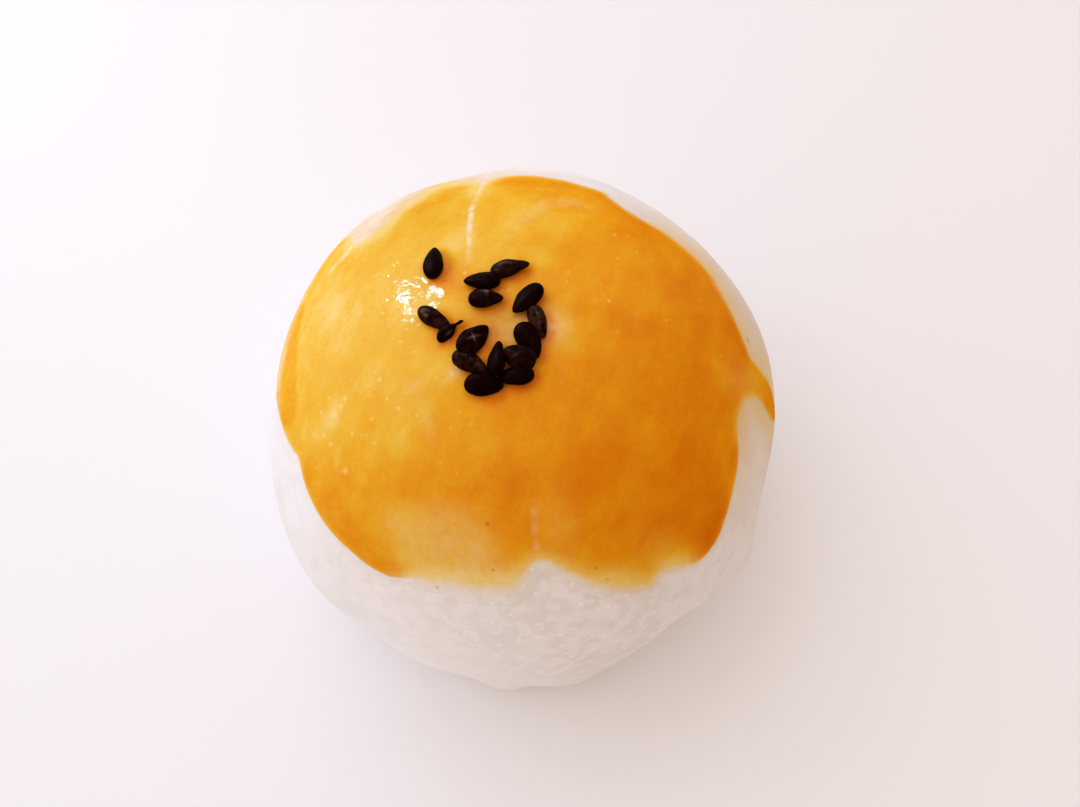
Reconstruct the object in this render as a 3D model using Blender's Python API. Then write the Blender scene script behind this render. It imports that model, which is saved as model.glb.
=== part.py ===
"""An egg yolk pastry: a baked dome of pale dough, glazed over its crown, with black sesame seeds.

Metres, +Z up. The flat underside lies on Z = 0, and the middle of the outline is on the Z axis.
"""

import math

import bmesh
import bpy
from mathutils import Matrix, Vector
from mathutils.bvhtree import BVHTree

MM = 0.001

# The dome's driving dimensions. A fullness of 2 is an ellipse, and more is squarer.
CROWN_HEIGHT = 36.0 * MM
BELLY_RADIUS = 27.0 * MM
BELLY_HEIGHT = 11.5 * MM
FOOT_RADIUS = 23.6 * MM
UPPER_FULLNESS = 2.15
LOWER_FULLNESS = 2.8

# How far the hand-shaped outline leaves a circle: waves round the plan, as shares of the radius.
PLAN_WAVES = (  # waves in a turn, cosine share, sine share
    (2, -0.016, 0.002),
    (3, 0.013, -0.004),
    (4, -0.003, 0.0055),
    (5, 0.003, 0.005),
)
# Local swells and dents of the dough. Each is a soft spot of the given half-width and half-height.
SWELLS = (  # azimuth in degrees, height, outward depth, half-width in degrees, half-height
    (304, 3 * MM, -1.15 * MM, 6, 9 * MM),
    (324, 13 * MM, 1.4 * MM, 9, 10 * MM),
    (281, 2 * MM, 1.2 * MM, 9, 7 * MM),
    (266, 3 * MM, 1.1 * MM, 6, 6 * MM),
    (237, 9 * MM, -0.95 * MM, 7, 8 * MM),
    (108, 26 * MM, -1.05 * MM, 14, 10 * MM),
    (28, 2 * MM, -0.8 * MM, 6, 6 * MM),
    (74, 1 * MM, 0.7 * MM, 9, 6 * MM),
    (131, 2 * MM, -0.9 * MM, 7, 7 * MM),
    (186, 1 * MM, -0.6 * MM, 6, 6 * MM),
)

# The mesh of the dome: segments round it, rings from crown to belly and from belly to foot.
SEGMENTS = 96
UPPER_RINGS = 19
LOWER_RINGS = 9

# The glaze reaches down to this height, give or take a wave.
GLAZE_HEIGHT = 27.5 * MM
GLAZE_WAVE = 1.4 * MM

# Sesame seeds: the middle on the plan, where the tip points, length, width, lift off the dough,
# how far the tip is raised, and how far the seed is rolled on its side.
SEEDS = (  # x, y, heading in degrees, length, width, lift, pitch in degrees, roll in degrees
    (-7.0, 5.3, 91, 3.25, 1.80, 0.0, 0, 8),
    (-0.45, 4.25, 13, 3.25, 1.65, 0.05, 4, -12),
    (-2.75, 3.0, 177, 3.10, 1.55, 0.05, 0, 25),
    (-2.4, 1.3, 358, 2.95, 1.80, 0.05, 0, -10),
    (1.0, 1.2, 228, 3.40, 1.80, 0.15, -4, 12),
    (1.9, -0.85, 285, 3.15, 1.55, 0.0, 0, -25),
    (1.1, -2.6, 296, 3.35, 1.90, 0.12, -5, 10),
    (0.4, -4.1, 150, 2.80, 2.05, 0.4, 0, 0),
    (0.15, -5.5, 188, 2.95, 1.65, 0.0, 0, 15),
    (-1.35, -4.1, 86, 3.15, 1.55, 0.18, -8, -30),
    (-3.3, -2.4, 47, 3.30, 1.90, 0.15, -7, 10),
    (-3.5, -4.4, 328, 3.35, 1.65, 0.05, 0, -15),
    (-2.4, -6.2, 357, 3.20, 1.80, 0.0, 0, 10),
    (-6.55, -0.3, 325, 3.45, 1.60, 0.1, 0, 20),
    (-5.2, -1.5, 35, 2.60, 1.00, 0.0, 8, 40),
)
SEED_THICKNESS = 1.15 * MM
SEED_SUNK = 0.2 * MM
SEED_TAPER = 0.25
SEED_SIDES = 8
SEED_RINGS = 4
SLOPE_REACH = 0.8 * MM

DOUGH, GLAZE, SESAME = range(3)


def clear_scene():
    for thing in list(bpy.data.objects):
        bpy.data.objects.remove(thing, do_unlink=True)


def new_collection(name):
    collection = bpy.data.collections.new(name)
    bpy.context.scene.collection.children.link(collection)
    return collection


def new_material(name, colour, roughness, coat=0.0):
    material = bpy.data.materials.new(name)
    material.use_nodes = True
    shader = material.node_tree.nodes["Principled BSDF"]
    shader.inputs["Base Color"].default_value = (*colour, 1.0)
    shader.inputs["Roughness"].default_value = roughness
    shader.inputs["Metallic"].default_value = 0.0
    shader.inputs["Coat Weight"].default_value = coat
    return material


def new_object(name, shape, collection, materials):
    mesh = bpy.data.meshes.new(name)
    shape.to_mesh(mesh)
    shape.free()
    for material in materials:
        mesh.materials.append(material)
    mesh.shade_smooth()
    thing = bpy.data.objects.new(name, mesh)
    collection.objects.link(thing)
    return thing


def soft_spot(distance):
    return math.exp(-distance * distance)


def swell(azimuth, height):
    """How far the local swells push the dough outwards, or in where it is negative."""
    total = 0.0
    for middle, level, depth, half_width, half_height in SWELLS:
        turn = (math.degrees(azimuth) - middle + 180) % 360 - 180
        total += depth * soft_spot(turn / half_width) * soft_spot((height - level) / half_height)
    return total


def dome_point(azimuth, latitude):
    """A point of the dome. Latitude runs from 90 degrees at the crown, over 0 at the belly, to -90."""
    across = max(0.0, math.cos(latitude))
    along = abs(math.sin(latitude))
    if latitude >= 0:
        radius = BELLY_RADIUS * across ** (2 / UPPER_FULLNESS)
        height = BELLY_HEIGHT + (CROWN_HEIGHT - BELLY_HEIGHT) * along ** (2 / UPPER_FULLNESS)
    else:
        bulge = across ** (2 / LOWER_FULLNESS)
        radius = FOOT_RADIUS + (BELLY_RADIUS - FOOT_RADIUS) * bulge
        height = BELLY_HEIGHT * (1 - along ** (2 / LOWER_FULLNESS))
    share = 1.0
    for waves, cosine, sine in PLAN_WAVES:
        share += cosine * math.cos(waves * azimuth) + sine * math.sin(waves * azimuth)
    reach = radius * share + swell(azimuth, height) * radius / BELLY_RADIUS
    return Vector((reach * math.cos(azimuth), reach * math.sin(azimuth), height))


def ring_latitude(ring):
    """The latitude of a ring of the sphere, counted from the crown."""
    if ring <= UPPER_RINGS:
        return math.pi / 2 * (1 - ring / UPPER_RINGS)
    return -math.pi / 2 * (ring - UPPER_RINGS) / LOWER_RINGS


def dome_shape():
    """A sphere whose rings are moved to the dome's, with its last cap flattened into the underside."""
    rings = UPPER_RINGS + LOWER_RINGS + 1
    shape = bmesh.new()
    bmesh.ops.create_uvsphere(shape, u_segments=SEGMENTS, v_segments=rings, radius=1.0)
    for point in shape.verts:
        ring = round(math.acos(max(-1.0, min(1.0, point.co.z))) / math.pi * rings)
        azimuth = math.atan2(point.co.y, point.co.x)
        if ring == rings:
            point.co = Vector((0.0, 0.0, 0.0))
        else:
            point.co = dome_point(azimuth, ring_latitude(ring))
    return shape


def paint_glaze(shape):
    for face in shape.faces:
        middle = face.calc_center_median()
        azimuth = math.atan2(middle.y, middle.x)
        edge = GLAZE_HEIGHT + GLAZE_WAVE * math.cos(2 * azimuth - math.pi)
        face.material_index = GLAZE if middle.z > edge else DOUGH


def seed_shape(length, width):
    """A flat drop along +X: round at the back, narrow at the tip."""
    shape = bmesh.new()
    bmesh.ops.create_uvsphere(shape, u_segments=SEED_SIDES, v_segments=SEED_RINGS, radius=1.0)
    for point in shape.verts:
        along = point.co.z
        girth = 1 - SEED_TAPER * along
        point.co = Vector((
            along * length / 2,
            point.co.x * girth * width / 2,
            point.co.y * girth * SEED_THICKNESS / 2,
        ))
    bmesh.ops.recalc_face_normals(shape, faces=shape.faces)
    for face in shape.faces:
        face.material_index = SESAME
    return shape


def height_on(surface, x, y):
    above = Vector((x, y, 2 * CROWN_HEIGHT))
    hit = surface.ray_cast(above, Vector((0.0, 0.0, -1.0)))[0]
    return hit.z


def seed_placement(surface, x, y, heading, lift, pitch, roll):
    """Rotation and place of a seed that lies along the slope of the dough under it."""
    rise_x = height_on(surface, x + SLOPE_REACH, y) - height_on(surface, x - SLOPE_REACH, y)
    rise_y = height_on(surface, x, y + SLOPE_REACH) - height_on(surface, x, y - SLOPE_REACH)
    normal = Vector((-rise_x, -rise_y, 2 * SLOPE_REACH)).normalized()
    forward = Vector((math.cos(heading), math.sin(heading), 0.0))
    forward = (forward - normal * forward.dot(normal)).normalized()
    sideways = normal.cross(forward)
    base = Matrix((forward, sideways, normal)).transposed().to_4x4()
    ground = Vector((x, y, height_on(surface, x, y)))
    middle = ground + normal * (SEED_THICKNESS / 2 - SEED_SUNK + lift)
    turned = Matrix.Rotation(-pitch, 4, "Y") @ Matrix.Rotation(roll, 4, "X")
    return Matrix.Translation(middle) @ base @ turned


def add_seeds(surface, collection, materials):
    for number, seed in enumerate(SEEDS, start=1):
        x, y, heading, length, width, lift, pitch, roll = seed
        shape = seed_shape(length * MM, width * MM)
        place = seed_placement(
            surface,
            x * MM,
            y * MM,
            math.radians(heading),
            lift * MM,
            math.radians(pitch),
            math.radians(roll),
        )
        bmesh.ops.transform(shape, matrix=place, verts=shape.verts)
        new_object(f"sesame_seed_{number:02d}", shape, collection, materials)


def fuse(body, collection):
    """Joins the collection's objects to the body, and then removes them."""
    union = body.modifiers.new("seeds fused on", "BOOLEAN")
    union.operation = "UNION"
    union.operand_type = "COLLECTION"
    union.collection = collection
    union.solver = "EXACT"
    graph = bpy.context.evaluated_depsgraph_get()
    fused = bpy.data.meshes.new_from_object(body.evaluated_get(graph))
    bare = body.data
    body.modifiers.clear()
    body.data = fused
    bpy.data.meshes.remove(bare)
    fused.name = body.name
    for thing in list(collection.objects):
        bpy.data.objects.remove(thing, do_unlink=True)
    bpy.data.collections.remove(collection)


def connected(start):
    """Every point that edges join to the start."""
    found = {start}
    waiting = [start]
    while waiting:
        point = waiting.pop()
        for edge in point.link_edges:
            other = edge.other_vert(point)
            if other not in found:
                found.add(other)
                waiting.append(other)
    return found


def keep_outer_skin(shape):
    """Fills the hollows sealed between seeds, by dropping every skin but the largest."""
    left = set(shape.verts)
    skins = []
    while left:
        skin = connected(next(iter(left)))
        skins.append(skin)
        left -= skin
    skins.sort(key=len)
    for skin in skins[:-1]:
        bmesh.ops.delete(shape, geom=list(skin), context="VERTS")


def centre_on_axis(shape):
    """Puts the middle of the outline's box on the Z axis."""
    xs = [point.co.x for point in shape.verts]
    ys = [point.co.y for point in shape.verts]
    middle = Vector(((min(xs) + max(xs)) / 2, (min(ys) + max(ys)) / 2, 0.0))
    bmesh.ops.translate(shape, vec=-middle, verts=shape.verts)


def finish_body(body):
    shape = bmesh.new()
    shape.from_mesh(body.data)
    keep_outer_skin(shape)
    centre_on_axis(shape)
    bmesh.ops.triangulate(shape, faces=shape.faces)
    shape.to_mesh(body.data)
    shape.free()
    body.data.shade_smooth()
    body.data.set_sharp_from_angle(angle=math.radians(50))


def main():
    clear_scene()
    pastry_collection = new_collection("egg_yolk_pastry")
    seed_collection = new_collection("seeds_to_fuse")
    materials = (
        new_material("baked_dough", (0.79, 0.66, 0.56), 0.6),
        new_material("egg_glaze", (0.76, 0.30, 0.02), 0.3, coat=0.6),
        new_material("black_sesame", (0.012, 0.007, 0.007), 0.45),
    )
    dome = dome_shape()
    paint_glaze(dome)
    surface = BVHTree.FromBMesh(dome)
    pastry = new_object("pastry", dome, pastry_collection, materials)
    add_seeds(surface, seed_collection, materials)
    fuse(pastry, seed_collection)
    finish_body(pastry)


main()
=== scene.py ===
"""Looks of an egg yolk pastry: pale dough, its egg glaze, black sesame seeds, floor, light and camera.

Metres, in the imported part's frame: +Z up, the underside on Z = 0, the viewer on the -Y side.
"""
import math

import bmesh
import bpy
import numpy as np
from mathutils import Matrix, Vector, kdtree, noise
from mathutils.bvhtree import BVHTree


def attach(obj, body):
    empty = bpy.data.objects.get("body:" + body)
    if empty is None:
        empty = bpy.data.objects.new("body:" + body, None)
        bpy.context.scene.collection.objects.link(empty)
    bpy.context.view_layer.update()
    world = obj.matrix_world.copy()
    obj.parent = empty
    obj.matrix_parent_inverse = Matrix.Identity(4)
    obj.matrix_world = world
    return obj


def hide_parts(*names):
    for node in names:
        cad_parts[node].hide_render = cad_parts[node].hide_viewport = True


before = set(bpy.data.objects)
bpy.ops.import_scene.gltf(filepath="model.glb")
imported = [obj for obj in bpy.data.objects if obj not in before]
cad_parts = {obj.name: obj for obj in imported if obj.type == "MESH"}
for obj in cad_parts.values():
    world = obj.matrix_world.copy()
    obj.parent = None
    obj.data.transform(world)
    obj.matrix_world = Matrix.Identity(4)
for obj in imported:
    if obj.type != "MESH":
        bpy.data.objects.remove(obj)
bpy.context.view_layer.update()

MM = 0.001
DOWN = Vector((0.0, 0.0, -1.0))

# The dome, with the part's own dimensions. A fullness of 2 is an ellipse, and more is squarer.
CROWN_HEIGHT = 36.0 * MM
BELLY_RADIUS = 27.0 * MM
BELLY_HEIGHT = 11.5 * MM
FOOT_RADIUS = 23.6 * MM
UPPER_FULLNESS = 2.15
LOWER_FULLNESS = 2.8
PLAN_WAVES = (  # waves in a turn, cosine share, sine share
    (2, -0.016, 0.002), (3, 0.013, -0.004), (4, -0.003, 0.0055), (5, 0.003, 0.005),
)
SWELLS = (  # azimuth, height, outward depth, half-width and half-height, in degrees and mm
    (304, 3, -1.15, 6, 9), (324, 13, 1.4, 9, 10), (281, 2, 1.2, 9, 7), (266, 3, 1.1, 6, 6),
    (237, 9, -0.95, 7, 8), (108, 26, -1.05, 14, 10), (28, 2, -0.8, 6, 6), (74, 1, 0.7, 9, 6),
    (131, 2, -0.9, 7, 7), (186, 1, -0.6, 6, 6),
)

# The meshes: a cube's edges are cut this often before it is blown up, and the dome takes this share
# of the way from pole to pole. The rest of it is the underside.
CRUST_CUTS = 124
GLAZE_CUTS = 138
DOME_SHARE = 0.84

# The edge of the brushed glaze on the plan, anticlockwise from the front. Feather is how far the
# glaze thins out towards the edge.
GLAZE_OUTLINE = (  # x, y and feather in mm
    (1.7, -19.1, 0.9), (2.4, -19.3, 0.9), (3.2, -19.6, 1.0), (4.1, -19.9, 1.0), (4.9, -20.2, 1.0),
    (5.7, -20.4, 1.0), (6.6, -20.6, 1.1), (7.9, -20.7, 1.2), (9.2, -20.7, 1.2), (10.5, -20.5, 1.1),
    (11.3, -20.1, 1.0), (11.8, -19.5, 0.9), (12.2, -19.1, 0.9), (12.9, -18.9, 0.9), (13.7, -18.7, 0.9),
    (14.6, -18.4, 0.7), (15.4, -18.0, 0.4), (16.1, -17.5, 0.25), (16.8, -16.7, 0.2), (17.5, -15.6, 0.2),
    (18.05, -14.1, 0.2), (18.5, -12.7, 0.2), (18.85, -11.3, 0.25), (19.15, -9.8, 0.25),
    (19.25, -8.5, 0.3), (19.1, -7.2, 0.4), (19.2, -6.1, 0.5), (19.6, -5.1, 0.5), (20.1, -4.2, 0.5),
    (20.7, -3.6, 0.4), (21.5, -3.2, 0.3), (22.3, -3.3, 0.3), (22.9, -3.5, 0.25), (23.5, -3.6, 0.2),
    (24.2, -3.55, 0.2), (24.9, -3.2, 0.15), (25.35, -2.5, 0.15), (25.2, -1.7, 0.15), (24.6, -1.0, 0.2),
    (23.7, -0.4, 0.25), (22.6, -0.1, 0.3), (21.8, 0.1, 0.3), (21.1, 0.5, 0.3), (20.6, 1.5, 0.3),
    (20.0, 2.8, 0.3), (19.4, 4.3, 0.35), (18.4, 6.5, 0.5), (17.3, 8.8, 0.5), (15.3, 10.6, 0.5),
    (13.0, 12.3, 0.5), (11.2, 13.1, 0.5), (9.7, 14.0, 0.4), (8.5, 15.3, 0.4), (7.7, 16.4, 0.4),
    (5.5, 17.2, 0.4), (3.8, 17.8, 0.4), (2.0, 18.1, 0.4), (0.3, 18.2, 0.45), (-1.5, 18.0, 0.5),
    (-2.5, 17.7, 0.5), (-3.2, 17.3, 0.5), (-3.7, 17.0, 0.6), (-4.4, 17.4, 0.8), (-5.2, 18.0, 0.9),
    (-6.4, 18.5, 1.1), (-7.6, 18.7, 1.1), (-8.6, 18.5, 1.0), (-9.2, 17.8, 0.9), (-9.6, 17.0, 1.0),
    (-10.1, 16.1, 1.2), (-10.7, 15.2, 1.3), (-11.4, 14.5, 1.3), (-12.1, 13.7, 1.4), (-12.6, 12.8, 1.4),
    (-13.3, 12.0, 1.4), (-14.0, 11.5, 1.3), (-14.7, 11.1, 1.2), (-15.3, 11.0, 1.1), (-15.9, 11.2, 0.9),
    (-16.3, 11.8, 0.6), (-16.6, 12.5, 0.5), (-17.1, 13.6, 0.3), (-18.4, 13.3, 0.3), (-19.8, 11.4, 0.3),
    (-20.8, 9.8, 0.3), (-22.2, 7.4, 0.3), (-23.5, 4.2, 0.3), (-24.0, 1.0, 0.3), (-23.6, -1.8, 0.25),
    (-22.9, -3.6, 0.2), (-22.0, -5.6, 0.2), (-21.1, -7.4, 0.2), (-20.2, -8.7, 0.2), (-19.6, -9.6, 0.2),
    (-19.0, -11.6, 0.2), (-18.0, -13.6, 0.2), (-16.85, -15.25, 0.2), (-15.6, -16.6, 0.2),
    (-14.1, -17.85, 0.2), (-12.9, -18.75, 0.2), (-11.75, -19.4, 0.2), (-10.7, -19.8, 0.25),
    (-9.8, -19.9, 0.35), (-9.1, -20.0, 0.6), (-8.4, -20.2, 0.9), (-7.5, -20.5, 1.3), (-6.4, -20.6, 1.5),
    (-5.4, -20.7, 1.5), (-4.1, -20.9, 1.5), (-2.9, -21.0, 1.5), (-1.7, -21.1, 1.6), (-0.7, -21.0, 1.5),
    (0.0, -20.6, 1.3), (0.5, -20.0, 1.1), (0.9, -19.5, 0.9), (1.3, -19.2, 0.9),
)
OUTLINE_STEPS = 40
COARSE_STRIDE = 8
LEAST_FEATHER = 0.1

# The film's edge, in mm: how far its rim lies past the feather, how wide its hem under the dough is,
# how steeply the hem dips, and how high the film stands. Its shell is this deep.
OUTLINE_RIM = 0.1
OUTLINE_HEM = 0.35
HEM_SLOPE = 0.35
FILM_HEIGHT = 0.06
GLAZE_DEPTH = 0.3 * MM

# The film's thickness, as its colour reads it: in the middle, and its change for each mm in X and in Y.
# It deepens and darkens towards the right, away from the window: partly thicker glaze, partly painted
# shade.
# The brush's streaks run along a heading in degrees, and are drawn out this many times.
FILM_BASE = 0.63
FILM_AND_SHADE_SLOPE = (0.019, -0.009)
BRUSH_HEADING = 66.0
BRUSH_STRETCH = 2.4

# Strokes of the brush with an edge of their own: softness of the edge in mm, change of the film's
# thickness, share of dough that shows, and corners on the plan in mm.
FILM_STROKES = (
    (0.55, 0.31, 0.0, (
        (-20.9, 5.4), (-21.0, 3.8), (-20.8, 2.0), (-20.7, 0.3), (-20.5, -1.3), (-20.3, -2.8),
        (-20.1, -4.3), (-20.2, -5.8), (-21.2, -6.4), (-23.0, -5.0), (-24.6, -1.5), (-24.8, 1.5),
        (-23.8, 4.5), (-22.0, 6.8),
    )),
    (0.9, 0.16, 0.0, (
        (-18.0, -10.0), (-16.3, -12.2), (-14.9, -13.9), (-13.5, -15.5), (-12.2, -16.7), (-10.9, -17.5),
        (-10.1, -18.3), (-9.5, -19.4), (-9.7, -21.0), (-12.6, -20.2), (-15.6, -18.0), (-18.4, -14.4),
        (-19.8, -11.0),
    )),
    (1.8, -0.14, 0.22, (
        (-10.6, -15.4), (-7.6, -15.2), (-5.2, -15.4), (-3.5, -16.3), (-2.4, -17.6), (-1.6, -19.2),
        (-1.0, -21.0), (-3.4, -22.0), (-7.0, -22.0), (-9.4, -20.8), (-9.8, -18.8), (-10.6, -17.0),
    )),
)

# Patches of thicker or thinner glaze, of dough that shows, and of painted shade, as soft ellipses on
# the plan. Most have no heading.
FILM_PATCHES = (  # x and y in mm, half-length, half-width, change of thickness, heading in degrees
    (-6.5, -11.5, 4.0, 2.4, 0.06, 160), (-9.3, -9.4, 2.4, 2.4, -0.24), (-9.0, -4.3, 3.4, 1.6, -0.18),
    (-11.0, 0.0, 3.2, 3.0, -0.12), (-15.5, -4.6, 2.6, 4.2, -0.12), (-19.2, -7.6, 1.5, 1.8, -0.19),
    (-5.2, -11.0, 1.8, 1.8, -0.2), (-9.0, -13.5, 2.2, 1.3, 0.19, 8), (-10.0, -12.4, 4.0, 2.0, 0.08),
    (-3.2, -17.2, 1.8, 2.2, -0.1), (-1.4, -18.9, 1.8, 1.4, -0.08), (-11.2, -18.0, 1.8, 1.0, -0.15, 150),
    (-17.2, -10.6, 1.4, 2.0, -0.12), (-13.3, -3.0, 1.3, 1.4, -0.09), (-4.8, -12.2, 1.2, 1.6, 0.16),
    (-1.2, -14.4, 1.4, 2.2, 0.1), (-14.2, 6.6, 2.4, 1.8, 0.09), (5.6, 1.2, 1.4, 3.0, -0.1),
    (9.4, 3.6, 1.4, 1.4, -0.1), (9.6, 7.6, 1.6, 1.2, -0.08), (4.6, -17.4, 1.4, 1.2, -0.09),
    (-7.0, 4.4, 1.0, 1.0, 0.12), (-0.4, -13.2, 1.4, 3.0, 0.12), (-15.2, -13.4, 3.2, 1.6, 0.14, 125),
    (-9.4, -11.4, 1.5, 1.5, -0.1), (-13.8, -7.0, 1.4, 1.4, -0.1), (-14.6, -10.0, 1.8, 1.8, 0.1),
    (-6.4, 1.0, 2.6, 1.4, -0.26, -25), (-6.0, 3.6, 1.3, 1.2, 0.2), (-5.6, 7.2, 1.4, 1.2, -0.16),
    (-14.0, 0.6, 1.6, 2.0, 0.12), (0.0, -7.2, 1.8, 1.2, 0.1), (4.8, 0.9, 1.0, 1.4, 0.12),
    (0.6, 8.0, 2.2, 1.2, 0.08), (-9.0, -18.2, 1.5, 1.3, -0.12), (3.0, -16.9, 1.6, 1.8, -0.17),
    (9.2, -19.9, 3.6, 1.1, -0.42, -3), (13.8, -18.0, 2.4, 0.9, -0.32, 15),
    (-0.6, -19.9, 1.3, 1.0, -0.12), (-4.2, 13.4, 1.6, 1.8, -0.12), (-19.0, 3.0, 1.4, 3.0, -0.1),
    (-13.2, 4.4, 2.2, 1.6, -0.13), (-4.6, 3.6, 1.0, 1.6, 0.08), (2.7, -6.6, 1.6, 1.9, -0.1),
    (16.8, -2.8, 1.4, 2.4, -0.09), (-16.0, -13.4, 1.6, 1.2, 0.08), (14.8, -12.4, 2.6, 2.4, 0.08),
    (19.0, -1.4, 1.3, 1.3, 0.28), (16.0, 1.6, 1.6, 2.4, 0.08), (1.2, 5.8, 1.6, 1.4, -0.26),
    (3.5, -1.0, 1.2, 3.0, -0.17), (-11.8, 2.0, 2.8, 2.0, -0.18), (-16.4, 0.6, 2.4, 2.8, -0.08),
    (-4.2, 15.4, 1.8, 1.8, -0.34), (4.0, 9.4, 3.4, 1.8, -0.1), (9.3, -2.4, 1.8, 4.6, 0.1),
    (12.8, 5.6, 2.4, 1.8, 0.14), (16.2, 4.2, 1.8, 2.4, -0.1, 30), (0.8, -9.6, 2.0, 1.6, -0.07),
    (-0.6, -1.0, 1.6, 2.0, -0.1), (-5.6, -6.1, 2.6, 1.8, -0.13), (-8.9, 13.8, 3.0, 1.4, 0.25, 27),
    (2.5, 16.4, 6.5, 1.2, 0.2, 5), (-15.8, -11.6, 1.4, 1.2, -0.12), (-17.2, 3.0, 1.3, 1.4, -0.14),
    (-7.3, -8.0, 2.0, 1.2, -0.09), (-16.0, -6.8, 1.7, 0.8, -0.24, 60),
    (-15.4, -10.3, 0.5, 1.0, -0.2, 10), (-13.2, -12.4, 0.6, 0.6, -0.2),
    (10.0, 13.2, 5.0, 1.5, 0.18, -50), (-1.6, 8.6, 5.0, 3.6, -0.15, 10),
    (-0.6, 11.0, 5.0, 2.2, -0.17, 12), (8.1, 5.8, 3.2, 2.4, -0.12, 20), (7.5, 0.4, 1.6, 1.5, 0.21),
    (7.3, -10.8, 1.8, 2.2, 0.17), (5.0, -13.4, 2.2, 3.0, 0.16), (8.9, -13.8, 2.4, 2.0, -0.12),
    (8.0, -18.0, 3.6, 1.4, -0.05, 5), (10.6, -9.6, 2.4, 2.4, -0.08), (11.6, -18.2, 2.8, 1.4, -0.19, 12),
    (15.6, -14.4, 3.0, 2.0, -0.16, 70), (16.0, -16.0, 1.2, 1.2, 0.12), (22.2, -1.9, 3.4, 2.2, -0.56),
    (18.6, -3.8, 1.6, 1.6, -0.14), (18.2, -11.0, 1.2, 3.6, -0.36, 5), (2.2, -18.2, 1.8, 1.0, 0.17, -10),
)
PALE_PATCHES = (  # x and y in mm, half-length, half-width, share of dough, heading in degrees
    (-7.4, 17.4, 3.0, 0.7, 0.45, 6), (-3.9, 16.4, 0.7, 1.2, 0.6), (-4.6, 9.6, 0.5, 3.4, 0.16),
    (-4.6, -18.0, 2.2, 0.9, 0.14, 175), (-7.6, -19.9, 1.3, 0.6, 0.3, 170),
    (-4.6, -20.1, 5.0, 0.9, 0.22, 178), (11.4, -17.6, 1.8, 1.2, 0.05, 10),
    (-23.3, 0.8, 4.4, 0.7, 0.7, 82), (20.0, -2.4, 2.0, 1.6, 0.08), (0.2, -1.2, 2.0, 1.6, 0.3),
    (3.2, -0.8, 0.9, 1.5, 0.36, 10), (-1.6, -1.4, 1.2, 1.0, 0.14), (3.0, -16.4, 1.4, 2.0, 0.07),
    (9.2, -20.1, 3.2, 0.8, 0.26, -3), (13.8, -18.3, 2.0, 0.6, 0.2, 15), (-0.8, -20.3, 1.4, 0.7, 0.25),
    (-5.4, -4.9, 0.8, 0.5, 0.45, 40), (-7.6, -8.2, 0.5, 1.6, 0.18, 20),
    (-8.8, -5.9, 1.0, 0.6, 0.18, 30), (-16.5, 2.8, 1.5, 0.5, 0.4, 58), (-16.1, -6.6, 1.0, 0.6, 0.1, 60),
)

# Painted shade: darker glaze inside the ring of seeds, beside the seeds and at the top left.
PAINTED_SHADE_PATCHES = (  # x and y in mm, half-length, half-width, darkness, heading in degrees
    (-1.6, -0.7, 2.0, 1.8, 0.19), (-3.9, -0.2, 1.2, 0.8, 0.06), (-6.1, 4.9, 0.7, 1.3, 0.17),
    (-9.0, 13.0, 8.0, 5.0, 0.08, 25),
)

# Pale lines where the brush or a fold drew the glaze off, with this many steps to a corner.
LINE_STEPS = 30
LINES = (  # half-width in mm, then x and y in mm and strength along the line
    (0.28, (
        (-3.5, 17.8, 0.9), (-3.8, 16.6, 0.9), (-4.1, 14.5, 0.5), (-4.4, 13.1, 0.5), (-4.6, 12.2, 0.95),
        (-4.6, 10.9, 1.0), (-4.6, 9.5, 1.0), (-4.6, 8.3, 0.9), (-4.5, 7.1, 0.35), (-4.5, 5.5, 0.1),
    )),
    (0.5, (
        (-18.5, 7.8, 0.1), (-18.0, 8.5, 0.5), (-17.6, 8.9, 0.6), (-17.1, 9.3, 0.7), (-16.6, 9.8, 0.7),
        (-16.2, 10.6, 0.8),
    )),
    (1.2, (
        (-20.6, 9.4, 0.3), (-21.6, 7.6, 0.4), (-22.6, 5.4, 0.4), (-23.3, 3.2, 0.4), (-23.6, 0.6, 0.4),
        (-23.3, -1.3, 0.4), (-22.9, -2.8, 0.3), (-22.5, -3.8, 0.1),
    )),
    (0.35, (
        (1.2, -14.8, 0.05), (1.2, -15.4, 0.18), (1.2, -16.1, 0.08), (1.2, -16.8, 0.16),
        (1.25, -17.4, 0.08), (1.3, -18.0, 0.2),
    )),
    (0.9, (
        (-1.8, 7.6, 0.02), (-0.2, 9.7, 0.1), (1.0, 11.4, 0.12), (2.4, 12.9, 0.14), (4.6, 13.4, 0.12),
        (6.6, 12.4, 0.03),
    )),
)
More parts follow.
